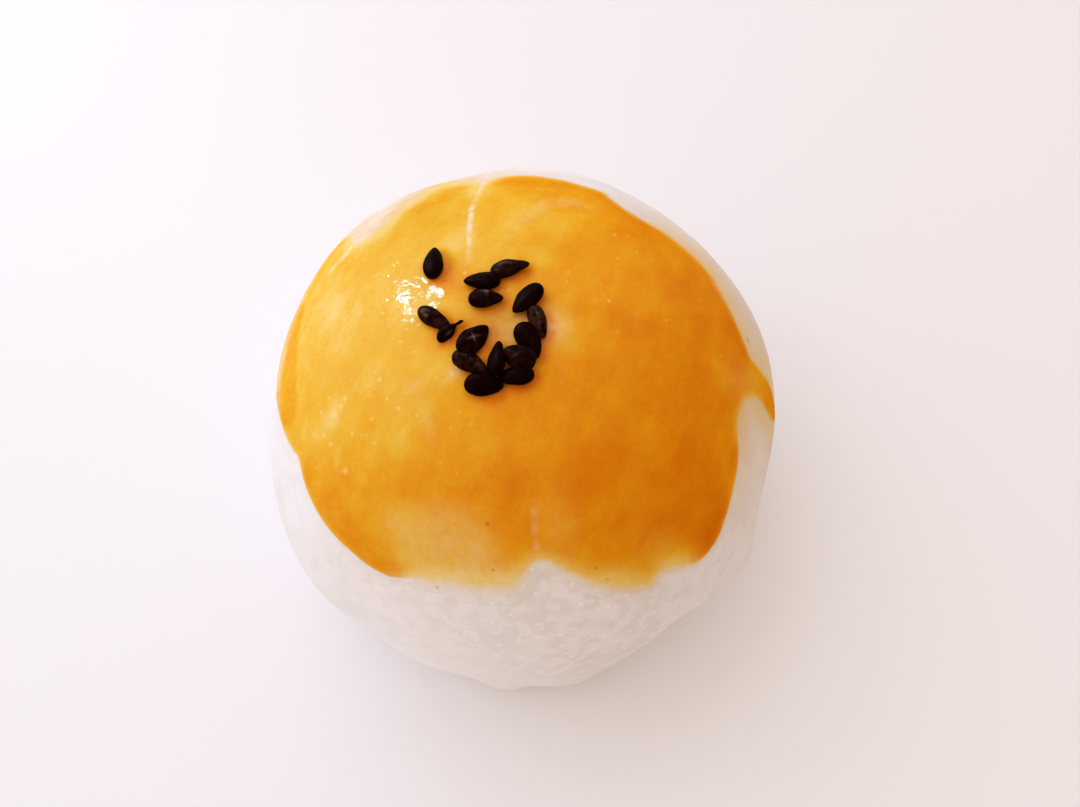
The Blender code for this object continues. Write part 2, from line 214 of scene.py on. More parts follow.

# Dark flecks baked into the surface, and pale grains under the glaze; the grains round the highlight
# are painted glints.
FLECKS = (  # x and y in mm, radius in mm, darkness
    (-2.6, -16.4, 0.17, 0.6), (-2.2, -19.6, 0.16, 0.4), (-6.9, -20.7, 0.17, 0.35),
    (6.2, -19.3, 0.15, 0.4), (7.2, -20.0, 0.14, 0.45), (21.1, 2.2, 0.26, 0.45),
)
GRAINS_AND_GLINTS = (  # x and y in mm, radius in mm, paleness
    (8.3, 9.5, 0.17, 0.4), (9.5, 9.6, 0.15, 0.3), (8.4, 6.6, 0.14, 0.3), (10.2, 7.7, 0.14, 0.25),
    (7.4, 1.8, 0.18, 0.45), (12.4, 0.8, 0.15, 0.3), (16.0, 4.1, 0.15, 0.3), (-9.9, -7.4, 0.2, 0.7),
    (-11.6, -4.8, 0.22, 0.7), (-5.0, -4.4, 0.22, 0.8), (-5.5, -5.0, 0.18, 0.7), (17.6, -1.0, 0.15, 0.3),
    (-13.1, 5.6, 0.16, 0.5), (-13.0, 1.6, 0.17, 0.5), (-11.8, 1.2, 0.16, 0.5), (-9.5, -0.7, 0.17, 0.5),
    (-10.0, -1.8, 0.17, 0.5), (-12.5, 5.5, 0.16, 0.4), (-9.0, 0.0, 0.18, 0.5), (-10.9, 6.5, 0.16, 0.4),
    (-15.7, -7.0, 0.34, 0.7), (-15.2, -6.4, 0.26, 0.6), (-14.8, -5.8, 0.26, 0.6),
    (-16.1, -9.3, 0.24, 0.5), (-14.6, -11.6, 0.3, 0.5), (-12.2, -8.0, 0.2, 0.5),
    (-16.8, -8.4, 0.26, 0.5), (-14.0, -8.9, 0.22, 0.4),
)

# The part's sesame seeds, in its own order. A few are drawn a little slimmer, fuller or more turned.
# They lie on the dome before it is centred on the Z axis.
SEEDS = (  # x, y, heading, length, width, lift, pitch, roll, brownness, pinch, shine, in mm and degrees
    (-7.0, 5.3, 91, 3.4, 1.62, 0.0, 0, 8, 0.0, 0.0, 0.1),
    (-0.45, 4.25, 13, 3.4, 1.8, 0.05, 4, -12, 0.35, 0.2, 0.9),
    (-2.75, 3.0, 177, 3.15, 1.72, 0.05, 0, 15, 0.0, 0.0, 0.2),
    (-2.4, 1.3, 358, 2.95, 1.8, 0.05, 0, -10, 0.1, 0.1, 1.0),
    (1.0, 1.2, 228, 3.4, 1.8, 0.15, -4, 12, 0.0, 0.0, 0.1),
    (1.9, -0.85, 285, 3.15, 1.55, 0.0, 0, -25, 1.0, 0.0, 0.7),
    (1.1, -2.6, 296, 3.35, 1.9, 0.12, -5, 10, 0.05, 0.0, 0.3),
    (0.4, -4.1, 150, 2.8, 2.05, 0.4, 0, 0, 0.15, 0.0, 0.4),
    (0.15, -5.5, 188, 2.95, 1.65, 0.0, 0, 15, 0.0, 0.0, 0.1),
    (-1.35, -4.1, 86, 3.15, 1.55, 0.18, -8, -30, 0.0, 0.1, 0.1),
    (-3.3, -2.4, 47, 3.3, 1.9, 0.15, -7, 10, 0.1, 0.0, 1.0),
    (-3.5, -4.4, 328, 3.35, 1.65, 0.05, 0, -15, 0.6, 0.05, 0.5),
    (-2.4, -6.2, 357, 3.2, 1.8, 0.0, 0, 10, 0.0, 0.0, 0.1),
    (-6.55, -0.3, 325, 3.5, 1.42, 0.1, 0, 20, 0.6, 0.0, 1.0),
    (-5.2, -1.5, 35, 2.7, 1.1, 0.0, 8, 40, 0.05, 0.75, 0.3),
)
# Painted glints: pale marks on the seeds' upper faces, where light would glint.
PAINTED_GLINTS = (  # seed's number, place along and across it, half-length, half-width, amount, heading
    (1, -0.55, 0.25, 0.45, 0.2, 0.55, 10), (1, 0.3, 0.05, 0.4, 0.12, 0.3, -10),
    (3, 0.00, 0.45, 0.42, 0.1, 0.75, 5), (3, 0.1, 0.28, 0.12, 0.3, 0.55),
    (5, -0.45, -0.2, 0.5, 0.14, 0.55, 15), (5, 0.15, -0.25, 0.6, 0.1, 0.35),
    (7, 0.2, -0.1, 0.4, 0.12, 0.25, 60), (10, 0.00, 0.00, 0.45, 0.07, 0.75, -25),
    (10, 0.00, 0.00, 0.07, 0.34, 0.75, -25), (11, -0.1, 0.1, 0.8, 0.16, 0.3),
    (13, -1.1, 0.05, 0.22, 0.18, 0.8), (13, -0.55, -0.1, 0.2, 0.14, 0.75),
    (14, -0.2, 0.05, 0.3, 0.1, 0.35),
)
SEED_THICKNESS = 1.15 * MM
SEED_SUNK = 0.2 * MM
SEED_TAPER = 0.25
SLOPE_REACH = 0.8 * MM
# The film deepens beside each seed, shifted this far to the side away from the window: pooled glaze and
# painted shadow.
SEED_SHADOW_SHIFT = (0.45 * MM, -0.25 * MM, 0.0)
SEED_SIDES = 56
SEED_RINGS = 44

# Base colours, linear.
DOUGH_WHITE = (0.88, 0.85, 0.845)
DOUGH_SHADE = (0.80, 0.752, 0.742)
# Painted shade: darker dough at the back and back left.
DOUGH_PAINTED_SHADE = (0.62, 0.57, 0.55)
# Painted light: lighter, cooler dough on the left and front left, where the window's light falls.
DOUGH_PAINTED_LIGHT = (0.965, 0.955, 0.98)
# Painted shade: warmer, darker dough on the right, away from the window, and a little at the front.
DOUGH_WARM_PAINTED_SHADE = (0.62, 0.47, 0.31)
DOUGH_TOAST = (0.62, 0.38, 0.17)
DOUGH_STAIN = (0.745, 0.53, 0.26)
BLISTER_WHITE = (0.97, 0.95, 0.93)
FILM_COLOURS = (  # thickness, colour
    (0.00, (0.84, 0.585, 0.145)),
    (0.25, (0.82, 0.475, 0.04)),
    (0.5, (0.8, 0.375, 0.012)),
    (0.75, (0.78, 0.29, 0.005)),
    (1.00, (0.735, 0.213, 0.003)),
    (1.25, (0.67, 0.155, 0.002)),
)
FILM_CREAM = (0.86, 0.64, 0.26)
LINE_CREAM = (0.88, 0.72, 0.44)
# Pale grains and painted glints in the glaze.
GRAIN_AND_GLINT_YELLOW = (0.90, 0.66, 0.20)
# Painted shade between and around the seeds.
PAINTED_SHADE_BROWN = (0.030, 0.008, 0.002)
FLECK_BROWN = (0.30, 0.085, 0.01)
HUSK_GLEAM = (1.0, 0.52, 0.50)
HUSK_BLACK = (0.0034, 0.0002, 0.0003)
HUSK_WORN = (0.0080, 0.0014, 0.0012)
HUSK_BROWN = (0.038, 0.011, 0.005)
# Painted glint on the husk.
HUSK_PAINTED_GLINT = (0.150, 0.090, 0.080)
HUSK_TIP = (0.020, 0.009, 0.005)

# Painted light on the floor: cool on the window's side, warm on the far side.
FLOOR_PAINTED_COOL_LIGHT = (0.87, 0.875, 0.915)
FLOOR_PAINTED_WARM_LIGHT = (0.865, 0.84, 0.845)

# The floor: where along X its painted light turns from cool to warm, and half of its side, in metres.
FLOOR_TINT_REACH = (-90 * MM, 70 * MM)
FLOOR_HALF_SIDE = 1.5

# How the light that seeps into dough and glaze is tinted, and how far it goes.
SEEP_COLOURS = (1.0, 0.85, 0.70)
SEEP_REACH = 0.5 * MM

# The camera looks down at the pastry from the viewer's side.
CAMERA_TARGET = Vector((1.62, 1.89, 12.0)) * MM
CAMERA_DISTANCE = 89.75 * MM
CAMERA_ELEVATION = 68.0
CAMERA_LENS = 27.0

# Daylight from a wide window behind the pastry on the left. Its small bright panes only glint.
WINDOW_AZIMUTH = 136.0
WINDOW_ELEVATION = 36.0
WINDOW_DISTANCE = 600 * MM
WINDOW_SIZE = 800 * MM
WINDOW_POWER = 1.72
WINDOW_COLOUR = (0.82, 0.98, 1.36)
PANES = (  # azimuth, elevation, size and power
    (135.2, 35.2, (24 * MM, 80 * MM), 1.9),
    (126.4, 42.0, (18 * MM, 46 * MM), 0.6),
    (141.0, 42.0, (12 * MM, 30 * MM), 0.2),
)
PANE_COLOUR = (1.0, 0.98, 0.96)

# The room's own light, brightest on the window's side at this elevation.
ROOM_ELEVATION = 20.0
ROOM_DIM = (0.62, 0.485, 0.385)
ROOM_BRIGHT = (1.05, 0.96, 0.90)


# ---------------------------------------------------------------- shapes


def soft_spot(distance):
    return np.exp(-np.square(distance))


def clipped(values):
    return np.clip(values, 0.0, 1.0)


def eased(values):
    """A soft step: 0 up to 0, 1 from 1 on, and smooth between them."""
    share = clipped(values)
    return share * share * (3 - 2 * share)


def turn_between(azimuth, middle):
    """The shorter way round from one azimuth to another, in degrees."""
    return (azimuth - middle + 180.0) % 360.0 - 180.0


def plain_profile(latitude):
    """Radius and height of the unwaved dome, by latitude from a quarter turn down to minus that."""
    across = np.maximum(0.0, np.cos(latitude))
    along = np.abs(np.sin(latitude))
    bulge = across ** (2 / LOWER_FULLNESS)
    upper_radius = BELLY_RADIUS * across ** (2 / UPPER_FULLNESS)
    upper_height = BELLY_HEIGHT + (CROWN_HEIGHT - BELLY_HEIGHT) * along ** (2 / UPPER_FULLNESS)
    lower_radius = FOOT_RADIUS + (BELLY_RADIUS - FOOT_RADIUS) * bulge
    lower_height = BELLY_HEIGHT * (1 - along ** (2 / LOWER_FULLNESS))
    upper = latitude >= 0
    return np.where(upper, upper_radius, lower_radius), np.where(upper, upper_height, lower_height)


def dome_points(azimuth, latitude, inward=1.0):
    """Points of the dome's skin. Under it, inward falls from 1 at the foot to 0 in the middle."""
    radius, height = plain_profile(latitude)
    share = np.ones_like(azimuth)
    for waves, cosine, sine in PLAN_WAVES:
        share += cosine * np.cos(waves * azimuth) + sine * np.sin(waves * azimuth)
    swell = np.zeros_like(azimuth)
    for middle, level, depth, half_width, half_height in SWELLS:
        across = turn_between(np.degrees(azimuth), middle) / half_width
        along = (height / MM - level) / half_height
        swell += depth * MM * soft_spot(across) * soft_spot(along)
    reach = (radius * share + swell * radius / BELLY_RADIUS) * inward
    return np.column_stack((reach * np.cos(azimuth), reach * np.sin(azimuth), height))


def mesh_of(name, shape):
    """A mesh made from an edited shape, which is freed."""
    mesh = bpy.data.meshes.new(name)
    shape.to_mesh(mesh)
    shape.free()
    return mesh


def vectors_of(items, name):
    """One vector of each item of a mesh, as rows of numbers."""
    vectors = np.empty(len(items) * 3, dtype=np.float32)
    items.foreach_get(name, vectors)
    return vectors.reshape(-1, 3).astype(float)


def mesh_points(mesh):
    return vectors_of(mesh.vertices, "co")


def move_points(mesh, points):
    mesh.vertices.foreach_set("co", points.astype(np.float32).ravel())
    mesh.update()


def blown_up_cube(name, cuts):
    """A closed ball of quads of much the same size, with its points' polar angle and azimuth."""
    shape = bmesh.new()
    bmesh.ops.create_cube(shape, size=2.0)
    bmesh.ops.subdivide_edges(shape, edges=shape.edges[:], cuts=cuts, use_grid_fill=True)
    mesh = mesh_of(name, shape)
    points = np.tan(mesh_points(mesh) * math.pi / 4)
    points /= np.linalg.norm(points, axis=1)[:, None]
    polar = np.arccos(np.clip(points[:, 2], -1.0, 1.0))
    azimuth = np.arctan2(points[:, 1], points[:, 0])
    return mesh, polar, azimuth


def even_latitudes(share):
    """Latitudes at the given shares of the way along the profile, from crown to foot."""
    latitude = np.linspace(math.pi / 2, -math.pi / 2, 4001)
    radius, height = plain_profile(latitude)
    steps = np.hypot(np.diff(radius), np.diff(height))
    travelled = np.concatenate(([0.0], np.cumsum(steps)))
    return np.interp(share, travelled / travelled[-1], latitude)


def dome_mesh(name, cuts):
    """A closed mesh of the dome's plain shape, not centred yet."""
    mesh, polar, azimuth = blown_up_cube(name, cuts)
    share = polar / math.pi / DOME_SHARE
    latitude = even_latitudes(np.minimum(share, 1.0))
    inward = clipped((1 - polar / math.pi) / (1 - DOME_SHARE))
    move_points(mesh, dome_points(azimuth, latitude, inward))
    return mesh


def centring_of(mesh):
    """How far the dome is shifted on the plan to stand centred on the Z axis."""
    points = mesh_points(mesh)
    shift = (points.max(axis=0) + points.min(axis=0)) / 2
    shift[2] = 0.0
    return shift


def bumps(points, size, seed, octaves=1):
    """Soft random relief between about -1 and 1, with lumps of about the given size."""
    offset = Vector((seed * 17.3, seed * 5.1, seed * 9.7))
    places = [Vector(point) / size + offset for point in points]
    if octaves == 1:
        return np.array([noise.noise(place) for place in places])
    return np.array([noise.fractal(place, 1.0, 2.0, octaves) for place in places])


def soft_ellipse(x, y, middle_x, middle_y, half_length, half_width, amount, heading=0):
    turn = math.radians(heading)
    along = (x - middle_x) * math.cos(turn) + (y - middle_y) * math.sin(turn)
    across = (y - middle_y) * math.cos(turn) - (x - middle_x) * math.sin(turn)
    return amount * soft_spot(np.hypot(along / half_length, across / half_width))


def patches(points, spots):
    """The sum of soft ellipses on the plan."""
    x, y, z = (points / MM).T
    together = sum(soft_ellipse(x, y, *spot) for spot in spots)
    return np.where(z > BELLY_HEIGHT / MM, together, 0.0)


def dough_relief(points):
    """The dough's own unevenness, in mm."""
    height = points[:, 2] / MM
    uneven = 0.10 * bumps(points, 9 * MM, 1, octaves=2) + 0.025 * bumps(points, 2.4 * MM, 2)
    lip = (0.10 + 0.25 * np.abs(bumps(points, 14 * MM, 4))) * soft_spot((height - 2.2) / 1.1)
    return (uneven + lip) * clipped(height / 1.5)


# ---------------------------------------------------------------- the glaze's reach


def smooth_loop(corners, steps):
    """A closed curve through all the corners: a Catmull-Rom spline."""
    corners = np.array(corners, dtype=float)
    before, after, beyond = [np.roll(corners, shift, axis=0) for shift in (1, -1, -2)]
    pieces = []
    for share in np.arange(steps) / steps:
        pieces.append(0.5 * (
            2 * corners
            + (after - before) * share
            + (2 * before - 5 * corners + 4 * after - beyond) * share ** 2
            + (3 * corners - before - 3 * after + beyond) * share ** 3
        ))
    return np.stack(pieces, axis=1).reshape(-1, corners.shape[1])


def is_inside(x, y, loop_x, loop_y):
    """Which points of the plan lie inside a closed loop, by counting its crossings."""
    inside = np.zeros(len(x), dtype=bool)
    for x0, y0, x1, y1 in zip(loop_x, loop_y, np.roll(loop_x, -1), np.roll(loop_y, -1)):
        if y0 == y1:
            continue
        crossed = (y0 > y) != (y1 > y)
        inside ^= crossed & (x < x0 + (y - y0) * (x1 - x0) / (y1 - y0))
    return inside


def on_surface(surface, plan):
    """Points on the dome over places on the plan, in metres. Places beyond it are drawn in to it."""
    places = []
    for x, y in plan:
        inward = 1.0
        while surface.ray_cast(Vector((x * inward, y * inward, 2 * CROWN_HEIGHT)), DOWN)[0] is None:
            inward -= 0.01
        places.append(Vector((x * inward, y * inward, height_on(surface, x * inward, y * inward))))
    return places


def nearest_of(places, points):
    """For each point, the distance to the nearest place and its number."""
    tree = kdtree.KDTree(len(places))
    for number, place in enumerate(places):
        tree.insert(place, number)
    tree.balance()
    found = [tree.find(point) for point in points]
    return np.array([row[2] for row in found]), np.array([row[1] for row in found])


def inside_outline(points, surface, outline):
    """How far each point is inside a closed outline, in mm, and the outline's nearest point."""
    loop = smooth_loop(outline, OUTLINE_STEPS)
    edge = on_surface(surface, loop[:, :2] * MM)
    distance, nearest = nearest_of(edge, points)
    coarse = loop[::COARSE_STRIDE]
    x, y = points[:, 0] / MM, points[:, 1] / MM
    inside = is_inside(x, y, coarse[:, 0], coarse[:, 1]) & (points[:, 2] > BELLY_HEIGHT)
    return np.where(inside, distance, -distance) / MM, loop[nearest]


def glaze_reach(points, surface):
    """For each point, how far it is inside the glaze's edge in mm, and the feather there in mm."""
    reach, edge = inside_outline(points, surface, GLAZE_OUTLINE)
    return reach, np.maximum(edge[:, 2], LEAST_FEATHER)


def film_strokes(points, surface):
    """For each point, how the edged strokes change the film's thickness and the share of dough."""
    change, pale = np.zeros(len(points)), np.zeros(len(points))
    for softness, thicker, bare, corners in FILM_STROKES:
        reach, _ = inside_outline(points, surface, corners)
        share = eased(0.5 + reach / softness / 2)
        change += thicker * share
        pale += bare * share
    return change, pale


def pale_lines(points, surface):
    """For each point, the nearest pale line: how many half-widths away it is, and its strength."""
    across = np.full(len(points), 9.0)
    strength = np.zeros(len(points))
    for half_width, corners in LINES:
        numbers = np.arange(len(corners))
        along = np.linspace(0, len(corners) - 1, LINE_STEPS * len(corners))
        path = np.column_stack([np.interp(along, numbers, column) for column in np.array(corners).T])
        distance, nearest = nearest_of(on_surface(surface, path[:, :2] * MM), points)
        distance = distance / MM / half_width
        nearer = distance < across
        across = np.where(nearer, distance, across)
        strength = np.where(nearer, path[nearest, 2], strength)
    return across, strength


# ---------------------------------------------------------------- seeds


def height_on(surface, x, y):
    return surface.ray_cast(Vector((x, y, 2 * CROWN_HEIGHT)), DOWN)[0].z


def seed_placement(surface, x, y, lift, heading, pitch, roll):
    """Rotation and place of a seed that lies along the slope of the dough under it."""
    rise_x = height_on(surface, x + SLOPE_REACH, y) - height_on(surface, x - SLOPE_REACH, y)
    rise_y = height_on(surface, x, y + SLOPE_REACH) - height_on(surface, x, y - SLOPE_REACH)
    normal = Vector((-rise_x, -rise_y, 2 * SLOPE_REACH)).normalized()
    forward = Vector((math.cos(heading), math.sin(heading), 0.0))
    forward = (forward - normal * forward.dot(normal)).normalized()
    sideways = normal.cross(forward)
    base = Matrix((forward, sideways, normal)).transposed().to_4x4()
    ground = Vector((x, y, height_on(surface, x, y)))
    middle = ground + normal * (SEED_THICKNESS / 2 - SEED_SUNK + lift)
    turned = Matrix.Rotation(-pitch, 4, "Y") @ Matrix.Rotation(roll, 4, "X")
    return Matrix.Translation(middle) @ base @ turned


def seed_mesh(number, length, width, pinch):
    """One sesame seed along +X: a flat drop with a rim round its outline, ribs and a nipped tip."""
    shape = bmesh.new()
    bmesh.ops.create_uvsphere(shape, u_segments=SEED_SIDES, v_segments=SEED_RINGS, radius=1.0)
    lean = 0.05 * math.sin(2.3 * number)
    for point in shape.verts:
        along = point.co.z
        around = math.atan2(point.co.y, point.co.x)
        girth = math.sqrt(max(0.0, 1 - along * along))
        taper = 1 - SEED_TAPER * along - 0.10 * max(0.0, along) ** 3
        taper *= 1 - pinch * math.exp(-((along - 0.55) / 0.38) ** 2)
        rim = 0.035 * abs(math.cos(around)) ** 14 * girth
        place = Vector((along * 1.6, 1.3 * math.cos(around), 1.3 * math.sin(around)))
        ribs = 0.045 * noise.noise(Vector((place.x * 0.7, place.y * 3.1, place.z * 3.1 + number * 7)))
        lumps = 0.075 * noise.noise(place * 1.1 + Vector((number * 3.7, 0.0, 0.0)))
        radius = girth * taper + rim + (ribs + lumps) * girth
        flat = 1 - 0.10 * girth * abs(math.sin(around)) ** 3
        bend = (lean + 0.25 * pinch) * (1 - along * along)
        point.co = Vector((
            along * length / 2,
            (math.cos(around) * radius + bend) * width / 2,
            math.sin(around) * radius * flat * SEED_THICKNESS / 2,
        ))
    return shape


def seed_places(surface, shift):
    """The matrix, size and look of each seed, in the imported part's frame."""
    places = []
    for x, y, heading, length, width, lift, pitch, roll, brownness, pinch, shine in SEEDS:
        turns = [math.radians(angle) for angle in (heading, pitch, roll)]
        matrix = seed_placement(surface, x * MM - shift[0], y * MM - shift[1], lift * MM, *turns)
        places.append((matrix, length * MM, width * MM, pinch, brownness, shine))
    return places


def seed_distances(points, places):
    """How far each point of the crust is from the skins of the nearest seed and the next one, in mm."""
    away = np.full((len(places), len(points)), 1e3)
    near = (points[:, 2] > CROWN_HEIGHT * 0.8) & (np.hypot(points[:, 0], points[:, 1]) < 14 * MM)
    close = points[near]
    for number, (matrix, length, width, pinch, *_) in enumerate(places):
        local = (close - np.array(matrix.translation)) @ np.array(matrix.to_3x3())
        half = np.array((length, width * (1 - 0.4 * pinch), SEED_THICKNESS)) / 2
        size = np.linalg.norm(local / half, axis=1)
        away[number, near] = (size - 1) * np.linalg.norm(local, axis=1) / np.maximum(size, 1e-6) / MM
    away.sort(axis=0)
    return np.maximum(away[:2], 0.0)


def painted_glints_of(number, shape):
    """How strong the painted glints are at each point of one seed: soft pale marks on its upper side.
    """
    marks = [mark[1:] for mark in PAINTED_GLINTS if mark[0] == number]
    points = np.array([point.co for point in shape.verts])
    raised = points * (1, 1, 0) + (0, 0, CROWN_HEIGHT)
    return np.where(points[:, 2] > 0, patches(raised, marks), 0.0)


def sesame_seeds(places):
    """All the seeds as one piece, with what their material reads for each point."""
    joined = bmesh.new()
    looks = {"tone": [], "tip": [], "shine": [], "painted_glint": []}
    for number, (matrix, length, width, pinch, brownness, shine) in enumerate(places):
        shape = seed_mesh(number, length, width, pinch)
        looks["tone"] += [brownness] * len(shape.verts)
        looks["tip"] += [2 * point.co.x / length for point in shape.verts]
        looks["shine"] += [shine] * len(shape.verts)
        looks["painted_glint"] += list(painted_glints_of(number, shape))
        bmesh.ops.transform(shape, matrix=matrix, verts=shape.verts)
        single = mesh_of("one_seed", shape)
        joined.from_mesh(single)
        bpy.data.meshes.remove(single)
    mesh = mesh_of("sesame_seeds", joined)
    store_fields(mesh, looks)
    return add_piece("sesame_seeds", mesh, seed_material())


# ---------------------------------------------------------------- materials


def set_inputs(node, inputs):
    """Sets or links a node's sockets by name or number."""
    for name, value in inputs.items():
        if isinstance(value, bpy.types.NodeSocket):
            node.id_data.links.new(value, node.inputs[name])
        else:
            node.inputs[name].default_value = value


def add_node(tree, kind, inputs=None, **settings):
    """A shader node with its settings made and its sockets set or linked."""
    node = tree.nodes.new(kind)
    for name, value in settings.items():
        setattr(node, name, value)
    set_inputs(node, inputs or {})
    return node


def new_material(name):
    """A material, its node tree, its surface shader and its piece's own coordinates."""
    material = bpy.data.materials.new(name)
    material.use_nodes = True
    tree = material.node_tree
    place = add_node(tree, "ShaderNodeTexCoord").outputs["Object"]
    return material, tree, tree.nodes["Principled BSDF"], place


def math_of(operation, first, second=0.0, third=0.0, clamp=False):
    inputs = {0: first, 1: second, 2: third}
    node = add_node(first.id_data, "ShaderNodeMath", inputs, operation=operation, use_clamp=clamp)
    return node.outputs[0]


def times(first, second):
    return math_of("MULTIPLY", first, second)


def scaled(value, factor, base=0.0):
    """The value times a factor, plus a base."""
    return math_of("MULTIPLY_ADD", value, factor, base)


def total(first, *others):
    """The sum of two or more values."""
    for other in others:
        first = math_of("ADD", first, other)
    return first


def fade(value, low, high):
    """0 at low, 1 at high, and a soft step between them."""
    inputs = {"Value": value, "From Min": low, "From Max": high}
    node = add_node(value.id_data, "ShaderNodeMapRange", inputs, interpolation_type="SMOOTHSTEP")
    return node.outputs["Result"]


def mixed(share, *colours):
    """The second colour over the first."""
    first, second = [(*colour, 1.0) if isinstance(colour, tuple) else colour for colour in colours]
    inputs = {0: share, 6: first, 7: second}
    return add_node(share.id_data, "ShaderNodeMix", inputs, data_type="RGBA").outputs[2]


def field(tree, name):
    return add_node(tree, "ShaderNodeAttribute", attribute_name=name).outputs["Fac"]


def speckle(place, size, detail=2.0, roughness=0.5):
    """Even noise between 0 and 1 with lumps of the given size in mm."""
    inputs = {"Vector": place, "Scale": 0.5 / (size * MM), "Detail": detail, "Roughness": roughness}
    return add_node(place.id_data, "ShaderNodeTexNoise", inputs).outputs["Fac"]


def stroked(place, heading, stretch):
    """Coordinates whose noise is drawn out along a heading on the plan, in degrees."""
    turn = {"Vector": place, "Angle": math.radians(-heading)}
    turned = add_node(place.id_data, "ShaderNodeVectorRotate", turn, rotation_type="Z_AXIS")
    sides = {0: turned.outputs[0], 1: (1 / stretch, 1.0, 1.0)}
    return add_node(place.id_data, "ShaderNodeVectorMath", sides, operation="MULTIPLY").outputs[0]


def dots(place, spots, surface):
    """Small soft dots at places on the plan, each with its own strength and a ragged edge."""
    strongest = 0.0
    ragged = scaled(speckle(place, 0.2, 1.0), 0.24 * MM, -0.12 * MM)
    for x, y, radius, amount in spots:
        middle = (x * MM, y * MM, height_on(surface, x * MM, y * MM))
        ends = {0: place, 1: middle}
        away = add_node(place.id_data, "ShaderNodeVectorMath", ends, operation="DISTANCE")
        away = total(away.outputs["Value"], ragged)
        dot = times(fade(away, radius * 1.5 * MM, radius * 0.2 * MM), amount)
        strongest = math_of("MAXIMUM", dot, strongest)
    return strongest


def cell_dots(place, spacing, spread, least, rim, chances):
    """Small dots, one to a cell at most, whose size and strength vary by chance. Spacing in mm."""
    inputs = {"Vector": place, "Scale": 1 / (spacing * MM), "Randomness": 1.0}
    cells = add_node(place.id_data, "ShaderNodeTexVoronoi", inputs)
    chance = add_node(place.id_data, "ShaderNodeSeparateColor", {"Color": cells.outputs["Color"]})
    size = scaled(chance.outputs[0], spread, least)
    dot = fade(math_of("DIVIDE", cells.outputs["Distance"], size), 1.0, rim)
    return times(dot, fade(chance.outputs[1], *chances))


def bumped(*heights):
    """The direction of a surface with relief too fine for the mesh, in metres."""
    inputs = {"Height": total(*heights), "Distance": 1.0, "Strength": 1.0}
    return add_node(heights[0].id_data, "ShaderNodeBump", inputs).outputs["Normal"]


def soft_inside(weight):
    """Light that seeps into dough and glaze."""
    return {
        "Subsurface Weight": weight,
        "Subsurface Radius": SEEP_COLOURS,
        "Subsurface Scale": SEEP_REACH,
    }


def dough_colour(place):
    """The dough: painted lighter on the left and darker at the back and right, faintly mottled, with
    tiny white blisters, and stained next to the glaze.
    """
    tree = place.id_data
    curd = scaled(speckle(place, 0.7, 2.0, 0.6), 2.2, -1.1)
    curd = times(curd, field(tree, "blisters"))
    cloud = total(speckle(place, 3.5, 3.0), curd)
    colour = mixed(fade(cloud, 0.30, 0.70), DOUGH_SHADE, DOUGH_WHITE)
    # Painted shade at the back and on the right, and painted light on the left.
    for name, tint in (("dim", DOUGH_PAINTED_SHADE), ("painted_light", DOUGH_PAINTED_LIGHT), ("warm", DOUGH_WARM_PAINTED_SHADE)):
        colour = mixed(field(tree, name), colour, tint)
    crumbs = scaled(fade(speckle(place, 0.8), 0.35, 0.65), 0.3, 0.85)
    stain = math_of("MULTIPLY", field(tree, "stain"), crumbs, clamp=True)
    colour = mixed(stain, colour, DOUGH_STAIN)
    blister = cell_dots(place, 0.75, 0.30, 0.20, 0.0, (0.2, 0.8))
    blister = times(blister, field(tree, "blisters"))
    colour = mixed(times(blister, 0.9), colour, BLISTER_WHITE)
    mottle = fade(speckle(place, 2.4, 3.0, 0.6), 0.25, 0.7)
    scorch = math_of("MULTIPLY", field(tree, "toast"), mottle, clamp=True)
    return mixed(scorch, colour, DOUGH_TOAST), blister


def crust_material(surface):
    material, _, shader, place = new_material("baked_dough")
    colour, blister = dough_colour(place)
    grit = speckle(place, 0.22, 2.0, 0.6)
    set_inputs(shader, {
        "Base Color": mixed(dots(place, FLECKS, surface), colour, FLECK_BROWN),
        "Roughness": scaled(grit, 0.16, 0.50),
        "Specular IOR Level": 0.12,
        "Normal": bumped(times(grit, 0.003 * MM), times(blister, 0.03 * MM)),
        **soft_inside(0.4),
    })
    return material


def film_colour(depth):
    """The film's colour by its thickness."""
    thickest = FILM_COLOURS[-1][0]
    ramp = add_node(depth.id_data, "ShaderNodeValToRGB", {"Fac": times(depth, 1 / thickest)})
    stops = ramp.color_ramp.elements
    while len(stops) < len(FILM_COLOURS):
        stops.new(0.5)
    for stop, (thickness, colour) in zip(stops, FILM_COLOURS):
        stop.position = thickness / thickest
        stop.color = (*colour, 1.0)
    return ramp.outputs["Color"]


